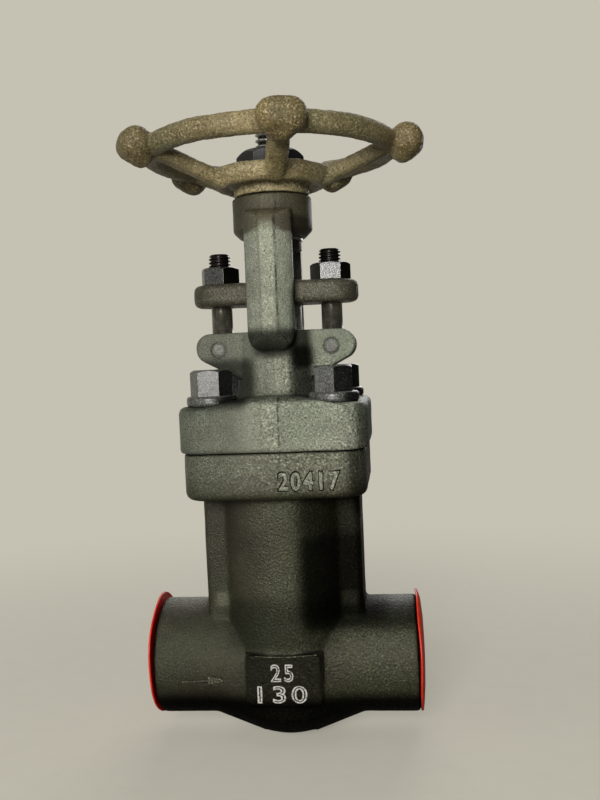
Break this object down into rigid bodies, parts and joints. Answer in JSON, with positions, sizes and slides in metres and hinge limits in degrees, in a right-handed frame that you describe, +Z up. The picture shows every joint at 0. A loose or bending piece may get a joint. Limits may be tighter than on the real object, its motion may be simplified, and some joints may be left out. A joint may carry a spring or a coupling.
{
  "type": "bellows seal globe valve",
  "caption": "Forged steel globe valve with a bolted bonnet, an open yoke, a bellows sealed rising stem, a spoked handwheel, socket ends for welding and loose end caps.",
  "frame": {"origin": "centre of the inlet socket's mouth, on the pipe axis", "axes": "+X along the flow from inlet to outlet, +Z up the stem, -Y towards the front with the number pad"},
  "size_m": [0.1246, 0.1266, 0.2678],
  "materials": {
    "forged_body": "dark phosphate coating on shot blasted forged steel",
    "forged_bonnet": "grey phosphate coating on shot blasted forged steel",
    "black_bolting": "black oxide",
    "plain_steel": "turned",
    "wheel_iron": "bronze paint on rough cast iron",
    "graphite": "pressed graphite",
    "bronze": "turned",
    "cap_plastic": "moulded"
  },
  "bodies": {
    "valve_body": {"body": "forged_body", "seat_ring": "plain_steel", "bonnet_gasket": "graphite", "bonnet": "forged_bonnet", "bonnet_screws": "black_bolting", "backseat_bush": "bronze", "stem_key": "plain_steel", "packing_washer": "plain_steel", "packing_rings": "graphite", "eye_bolt_left": "plain_steel", "eye_bolt_right": "plain_steel", "eye_pin_left": "plain_steel", "eye_pin_right": "plain_steel", "bellows": "plain_steel", "bellows_clamp_ring": "plain_steel"},
    "wheel": {"handwheel": "wheel_iron", "wheel_nut": "black_bolting", "yoke_sleeve": "bronze", "thrust_washer": "plain_steel"},
    "stem_unit": {"stem": "plain_steel", "disc": "plain_steel", "disc_nut": "plain_steel", "bellows_foot_ring": "plain_steel"},
    "gland": {"gland_flange": "forged_bonnet", "gland_bush": "plain_steel", "gland_nut_left": "black_bolting", "gland_nut_right": "black_bolting"},
    "inlet_closure": {"inlet_cap": "cap_plastic"},
    "outlet_closure": {"outlet_cap": "cap_plastic"}
  },
  "joints": [
    {"name": "wheel_spin", "type": "hinge", "parent": "valve_body", "child": "wheel", "pos_m": [0.0555, 0, 0.2], "axis": [0, 0, 1], "range_deg": [0, 1440]},
    {"name": "stem_lift", "type": "slide", "parent": "valve_body", "child": "stem_unit", "axis": [0, 0, 1], "range_m": [0, 0.01], "deforming": ["bellows"]},
    {"name": "gland_slide", "type": "slide", "parent": "valve_body", "child": "gland", "axis": [0, 0, 1], "range_m": [-0.003, 0], "deforming": ["packing_rings"]},
    {"name": "inlet_cap_pull", "type": "slide", "parent": "valve_body", "child": "inlet_closure", "axis": [-1, 0, 0], "range_m": [0, 0.06]},
    {"name": "outlet_cap_pull", "type": "slide", "parent": "valve_body", "child": "outlet_closure", "axis": [1, 0, 0], "range_m": [0, 0.06]}
  ],
  "couplings": [
    {"joint": "stem_lift", "follows": "wheel_spin", "m_per_rad": 0.00039788}
  ]
}
